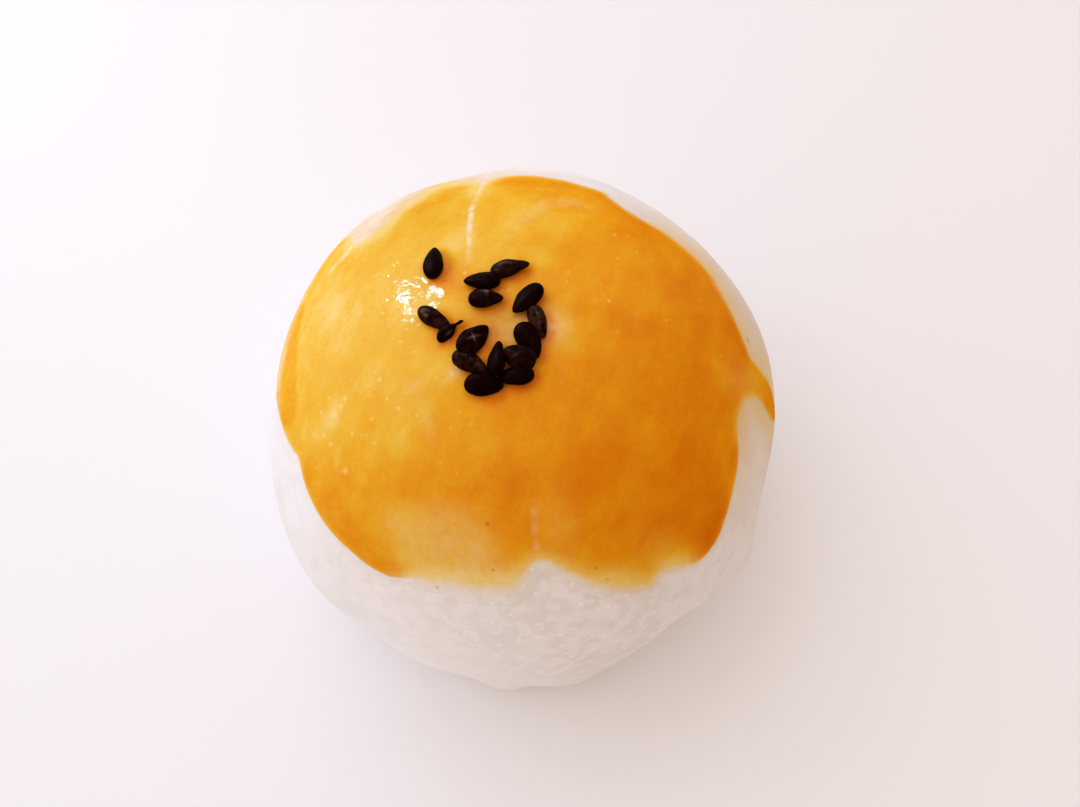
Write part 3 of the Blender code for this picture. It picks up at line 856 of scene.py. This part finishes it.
def glaze_material(surface):
    material, tree, shader, place = new_material("egg_glaze")

    # Where the glaze covers the dough: crisp or feathered, with a slightly ragged edge.
    feather = field(tree, "feather")
    ragged = math_of("SUBTRACT", speckle(place, 0.5, 3.0, 0.6), 0.5)
    wobble = times(ragged, scaled(feather, 0.60, 0.08))
    inside = total(field(tree, "reach"), wobble)
    cover = fade(inside, times(feather, -0.3), times(feather, 0.7))

    # The pale lines, broken into beads.
    away = total(field(tree, "line_across"), scaled(ragged, 0.8))
    beads = fade(speckle(place, 0.45, 1.0), 0.36, 0.6)
    line = times(fade(away, 1.3, 0.3), field(tree, "line_strength"))
    line = times(line, scaled(beads, 0.65, 0.35))

    # Thickness of the film, with brush streaks and fine mottling.
    brushed = stroked(place, BRUSH_HEADING, BRUSH_STRETCH)
    streaks = fade(speckle(brushed, 1.0, 3.0, 0.6), 0.3, 0.7)
    mottle = fade(speckle(place, 2.4, 3.0, 0.6), 0.34, 0.66)
    grit = fade(speckle(place, 0.22, 2.0, 0.6), 0.25, 0.75)
    depth = field(tree, "film")
    for waves, amount in ((streaks, 0.16), (mottle, 0.18), (grit, 0.10)):
        depth = total(depth, scaled(waves, amount, -amount / 2))
    # Deeper film beside the seeds: pooled glaze and painted shadow.
    depth = total(depth, field(tree, "pooled_glaze_and_shadow"))

    # Dough that shows through thin glaze, pale grains with painted glints, pale lines, and painted
    # shade between and around the seeds.
    grain = fade(speckle(place, 0.34, 3.0, 0.6), 0.32, 0.68)
    uneven = total(scaled(streaks, 0.5, 0.45), scaled(grain, 0.6))
    speck = times(times(grain, field(tree, "pimples_and_glints")), 0.07)
    thin = total(times(field(tree, "pale"), uneven), speck)
    # Pale specks, strongest on the window side and round the highlight: partly pimples in the glaze,
    # partly painted glints.
    pimples_and_glints = cell_dots(place, 0.9, 0.20, 0.13, 0.2, (0.4, 0.95))
    pimples_and_glints = times(times(pimples_and_glints, field(tree, "pimples_and_glints")), 0.8)
    grains_and_glints = math_of("MAXIMUM", dots(place, GRAINS_AND_GLINTS, surface), pimples_and_glints)
    glaze = mixed(math_of("MINIMUM", thin, 1.0), film_colour(depth), FILM_CREAM)
    # Painted shade between and around the seeds.
    painted_shade = field(tree, "painted_shade")
    for share, tint in ((grains_and_glints, GRAIN_AND_GLINT_YELLOW), (line, LINE_CREAM), (painted_shade, PAINTED_SHADE_BROWN)):
        glaze = mixed(share, glaze, tint)
    colour = mixed(cover, dough_colour(place)[0], glaze)

    dimples = times(speckle(place, 0.45, 2.0, 0.6), cover)
    normal = bumped(
        times(dimples, scaled(field(tree, "pimples_and_glints"), 0.020 * MM, 0.016 * MM)),
        times(grit, 0.002 * MM),
        times(grains_and_glints, 0.036 * MM),
        times(cover, 0.02 * MM),
    )
    set_inputs(shader, {
        "Base Color": mixed(dots(place, FLECKS, surface), colour, FLECK_BROWN),
        "Roughness": scaled(grit, 0.10, 0.40),
        "Specular IOR Level": 0.0,
        "Coat Weight": times(cover, field(tree, "gloss")),
        "Coat Roughness": 0.06,
        "Coat IOR": 1.42,
        "Normal": normal,
        "Coat Normal": normal,
        **soft_inside(0.05),
    })
    return material


def seed_material():
    material, tree, shader, place = new_material("black_sesame")
    worn = speckle(place, 0.35, 3.0, 0.6)
    husk = mixed(fade(worn, 0.40, 0.72), HUSK_BLACK, HUSK_WORN)
    brown = times(field(tree, "tone"), fade(worn, 0.34, 0.64))
    # Painted glints on the seeds' upper faces.
    painted_glint = times(field(tree, "painted_glint"), fade(worn, 0.25, 0.6))
    tip = times(fade(field(tree, "tip"), 0.93, 1.0), 0.5)
    for share, tint in ((brown, HUSK_BROWN), (painted_glint, HUSK_PAINTED_GLINT), (tip, HUSK_TIP)):
        husk = mixed(share, husk, tint)
    shine = field(tree, "shine")
    pits = times(speckle(place, 0.11), 0.003 * MM)
    creases = times(speckle(place, 0.4), scaled(shine, 0.055 * MM, 0.015 * MM))
    set_inputs(shader, {
        "Base Color": husk,
        "Roughness": scaled(worn, 0.22, scaled(shine, -0.27, 0.35)),
        "Specular IOR Level": 0.016,
        "Specular Tint": (*HUSK_GLEAM, 1.0),
        "Normal": bumped(pits, creases),
    })
    return material


def floor_material():
    material, tree, shader, place = new_material("pale_table")
    across = add_node(tree, "ShaderNodeSeparateXYZ", {"Vector": place}).outputs["X"]
    # Painted light: cooler towards the window, warmer on the far side.
    tint = mixed(fade(across, *FLOOR_TINT_REACH), FLOOR_PAINTED_COOL_LIGHT, FLOOR_PAINTED_WARM_LIGHT)
    cloud = scaled(speckle(place, 60), 0.04)
    set_inputs(shader, {
        "Base Color": mixed(cloud, tint, (1.0, 1.0, 1.0)),
        "Roughness": 0.6,
        "Specular IOR Level": 0.2,
    })
    return material


# ---------------------------------------------------------------- pieces


def new_object(name, data):
    thing = bpy.data.objects.new(name, data)
    bpy.context.scene.collection.objects.link(thing)
    return thing


def add_piece(name, mesh, material):
    mesh.materials.append(material)
    mesh.shade_smooth()
    piece = new_object(name, mesh)
    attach(piece, "root")
    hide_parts("pastry")
    return piece


def store_fields(mesh, fields):
    """Values for each point of a mesh, which its material reads by name."""
    for name, values in fields.items():
        layer = mesh.attributes.new(name, "FLOAT", "POINT")
        layer.data.foreach_set("value", np.asarray(values, dtype=np.float32))


def dough_fields(points, reach):
    """What the dough's colour reads: painted light and shade by side, the toast of the bake, the
    glaze's stain, and blisters.
    """
    x, y, z = (points / MM).T
    azimuth = np.degrees(np.arctan2(y, x))

    def around(middle, half_width):
        return soft_spot(turn_between(azimuth, middle) / half_width)

    front = soft_spot(np.hypot((x - 1) / 12, (y + 24) / 6))
    beyond = np.minimum(reach, 0.0)
    right = 0.45 * soft_spot(beyond / 0.6) * clipped(0.5 + x / 20)
    beside = 0.95 * soft_spot(beyond / 2.9) * clipped((x - 8) / 8) * clipped((y + 16) / 10)
    below = 0.28 * soft_spot(beyond) * around(-88, 30)
    behind_left = around(125, 32) * soft_spot(beyond / 4.2)
    # Painted light on the left and upper left, where the window's light falls.
    left = around(-120, 40) * soft_spot(z / 20)
    upper_left = 0.85 * around(-108, 26) * soft_spot((z - 12) / 14)
    return {
        "blisters": clipped(0.25 + 0.9 * front),
        # Painted shade: darker at the back and back left, warmer and darker on the right and a little
        # at the front.
        "dim": 0.30 * around(62, 30) + 0.20 * around(120, 26),
        "painted_light": np.maximum(left, upper_left),
        "warm": 0.15 * around(-78, 34) + 0.68 * around(8, 38) * clipped((z - 2) / 15),
        "toast": soft_spot(np.maximum(z - 0.1, 0.0) / 0.5),
        "stain": np.maximum.reduce((right, beside, below, behind_left)),
    }


def crust(mesh, surface):
    """The whole pastry's dough as one closed skin."""
    points = mesh_points(mesh)
    normals = vectors_of(mesh.vertex_normals, "vector")
    store_fields(mesh, dough_fields(points, glaze_reach(points, surface)[0]))
    move_points(mesh, points + normals * dough_relief(points)[:, None] * MM)
    return add_piece("crust", mesh, crust_material(surface))


def trim(mesh, kept):
    """Leaves only the kept points of a mesh, and the faces between them."""
    shape = bmesh.new()
    shape.from_mesh(mesh)
    lost = [point for point, keep in zip(shape.verts, kept) if not keep]
    bmesh.ops.delete(shape, geom=lost, context="VERTS")
    shape.to_mesh(mesh)
    shape.free()


def crispness(feather):
    return clipped(1 - (feather - 0.15) / 0.6)


def pool(reach, feather):
    """How far the film pools, just inside a crisp edge."""
    return soft_spot((reach - 0.9) / 1.3) * crispness(feather)


def film_look(points, reach, feather, surface):
    """The film's thickness, as its colour reads it, and the share of dough that shows."""
    x, y, _ = (points / MM).T
    crisp = crispness(feather)
    inwards = np.maximum(reach, 0.0)
    fringe = (0.50 - 0.18 * crisp) * soft_spot(inwards / (0.2 + 1.2 * feather))
    faded = 0.42 * (1 - crisp) * soft_spot(inwards / (0.2 + 0.8 * feather))
    film, pale = film_strokes(points, surface)
    # Deeper and darker towards the right: partly thicker glaze, partly painted shade.
    film += FILM_BASE + FILM_AND_SHADE_SLOPE[0] * x + FILM_AND_SHADE_SLOPE[1] * y
    film += 0.10 * pool(reach, feather) - fringe
    return film + patches(points, FILM_PATCHES), clipped(pale + patches(points, PALE_PATCHES) + faded)


def film_relief(points, reach, feather, dip, to_seed):
    """How far the film stands proud of the dough, in mm. Beyond its rim it dips under the dough."""
    from_rim = reach + feather + OUTLINE_RIM
    rise = clipped(from_rim / (2 * feather + 0.3))
    height = np.where(from_rim > 0, FILM_HEIGHT * eased(rise), HEM_SLOPE * from_rim)
    height += 0.015 * pool(reach, feather) + 0.04 * soft_spot(to_seed / 0.5)
    return height - 0.045 * dip + 0.010 * rise * bumps(points, 0.75 * MM, 3)


def glaze(mesh, surface, places):
    """The brushed film: a thin shell that rises along its edge and dips under the dough beyond."""
    points = mesh_points(mesh)
    normals = vectors_of(mesh.vertex_normals, "vector")
    reach, feather = glaze_reach(points, surface)
    kept = reach > -(feather + OUTLINE_RIM + OUTLINE_HEM)
    trim(mesh, kept)
    points, normals, reach, feather = points[kept], normals[kept], reach[kept], feather[kept]

    x, y, _ = (points / MM).T
    film, pale = film_look(points, reach, feather, surface)
    across, strength = pale_lines(points, surface)
    to_seed, to_next = seed_distances(points, places)
    # Distance to the seeds on their side away from the window, for pooled glaze and painted shadow.
    to_seed_shadow_side, _ = seed_distances(points - np.array(SEED_SHADOW_SHIFT), places)
    # Painted shade where two seeds lie close together.
    shade_between_seeds = soft_spot((to_seed + to_next) / 0.6)
    lit_side = (0.6 * y - 0.8 * x) / 27
    upward = clipped((normals[:, 2] - 0.6) / 0.35)
    back = clipped((y - 4) / 7)
    gloss = np.clip(0.20 + 0.24 * lit_side, 0.04, 0.34) * (1 - 0.85 * back) * (1 - 0.4 * pale) * upward
    sparkling = soft_spot(np.hypot(x + 9.0, y - 3.0) / 4.5)
    store_fields(mesh, {
        "reach": reach,
        "feather": feather,
        "film": film,
        "pale": pale,
        "pooled_glaze_and_shadow": 0.55 * soft_spot(to_seed_shadow_side / 0.5) + 0.05 * soft_spot(to_seed / 0.8),
        "painted_shade": np.maximum(shade_between_seeds, patches(points, PAINTED_SHADE_PATCHES)),
        "gloss": gloss * (1 - 0.5 * soft_spot(to_seed_shadow_side / 0.6)),
        # Pale specks, more on the window side and round the highlight: partly pimples, partly painted
        # glints.
        "pimples_and_glints": np.clip(0.40 + 0.9 * lit_side, 0.0, 0.8) * (1 - 0.8 * back) + 0.5 * sparkling,
        "line_across": across,
        "line_strength": strength,
        **dough_fields(points, reach),
    })

    dip = strength * soft_spot(across / 1.2)
    relief = dough_relief(points) + film_relief(points, reach, feather, dip, to_seed)
    move_points(mesh, points + normals * relief[:, None] * MM)
    piece = add_piece("egg_glaze", mesh, glaze_material(surface))
    shell = piece.modifiers.new("shell", "SOLIDIFY")
    shell.thickness = GLAZE_DEPTH
    shell.offset = -1.0
    return piece


# ---------------------------------------------------------------- stage


def floor():
    shape = bmesh.new()
    bmesh.ops.create_grid(shape, x_segments=1, y_segments=1, size=FLOOR_HALF_SIDE)
    mesh = mesh_of("floor", shape)
    mesh.materials.append(floor_material())
    plane = new_object("floor", mesh)


def direction(azimuth, elevation):
    turn, rise = math.radians(azimuth), math.radians(elevation)
    return Vector((math.cos(turn) * math.cos(rise), math.sin(turn) * math.cos(rise), math.sin(rise)))


def aimed(name, data, target, distance, azimuth, elevation):
    """A lamp or camera that looks at a target from the given side."""
    thing = new_object(name, data)
    back = direction(azimuth, elevation)
    thing.location = target + back * distance
    thing.rotation_mode = "QUATERNION"
    thing.rotation_quaternion = back.to_track_quat("Z", "Y")
    return thing


def area_light(name, azimuth, elevation, size, power, colour):
    light = bpy.data.lights.new(name, "AREA")
    light.shape = "RECTANGLE"
    light.size, light.size_y = size
    light.energy = power
    light.color = colour
    lamp = aimed(name, light, Vector(), WINDOW_DISTANCE, azimuth, elevation)
    lamp.visible_camera = False
    return lamp


def window():
    wide = (WINDOW_SIZE, WINDOW_SIZE)
    area_light("window", WINDOW_AZIMUTH, WINDOW_ELEVATION, wide, WINDOW_POWER, WINDOW_COLOUR)
    for number, (azimuth, elevation, size, power) in enumerate(PANES):
        pane = area_light(f"pane_{number}", azimuth, elevation, size, power, PANE_COLOUR)
        pane.visible_diffuse = False


def room_light():
    """A pale room, bright towards the window and dim and warm on the far side."""
    world = bpy.data.worlds.new("pale_room")
    bpy.context.scene.world = world
    world.use_nodes = True
    tree = world.node_tree
    ray = add_node(tree, "ShaderNodeTexCoord").outputs["Generated"]
    sides = {0: ray, 1: tuple(direction(WINDOW_AZIMUTH, ROOM_ELEVATION))}
    facing = add_node(tree, "ShaderNodeVectorMath", sides, operation="DOT_PRODUCT").outputs["Value"]
    colour = mixed(fade(facing, -0.9, 0.9), ROOM_DIM, ROOM_BRIGHT)
    set_inputs(tree.nodes["Background"], {"Color": colour, "Strength": 1.0})


def camera():
    lens = bpy.data.cameras.new("camera")
    lens.lens = CAMERA_LENS
    lens.sensor_width = 36.0
    lens.clip_start = 1 * MM
    lens.clip_end = 10.0
    view = aimed("camera", lens, CAMERA_TARGET, CAMERA_DISTANCE, -90.0, CAMERA_ELEVATION)
    bpy.context.scene.camera = view


def surface_of(mesh):
    shape = bmesh.new()
    shape.from_mesh(mesh)
    surface = BVHTree.FromBMesh(shape)
    shape.free()
    return surface


camera()
floor()
room_light()
window()
crust_mesh = dome_mesh("crust", CRUST_CUTS)
glaze_mesh = dome_mesh("egg_glaze", GLAZE_CUTS)
centring = centring_of(crust_mesh)
for plain_mesh in (crust_mesh, glaze_mesh):
    move_points(plain_mesh, mesh_points(plain_mesh) - centring)
dome_surface = surface_of(crust_mesh)
seeds_at = seed_places(dome_surface, centring)
crust(crust_mesh, dome_surface)
glaze(glaze_mesh, dome_surface, seeds_at)
sesame_seeds(seeds_at)
bpy.context.scene.view_settings.view_transform = "Standard"
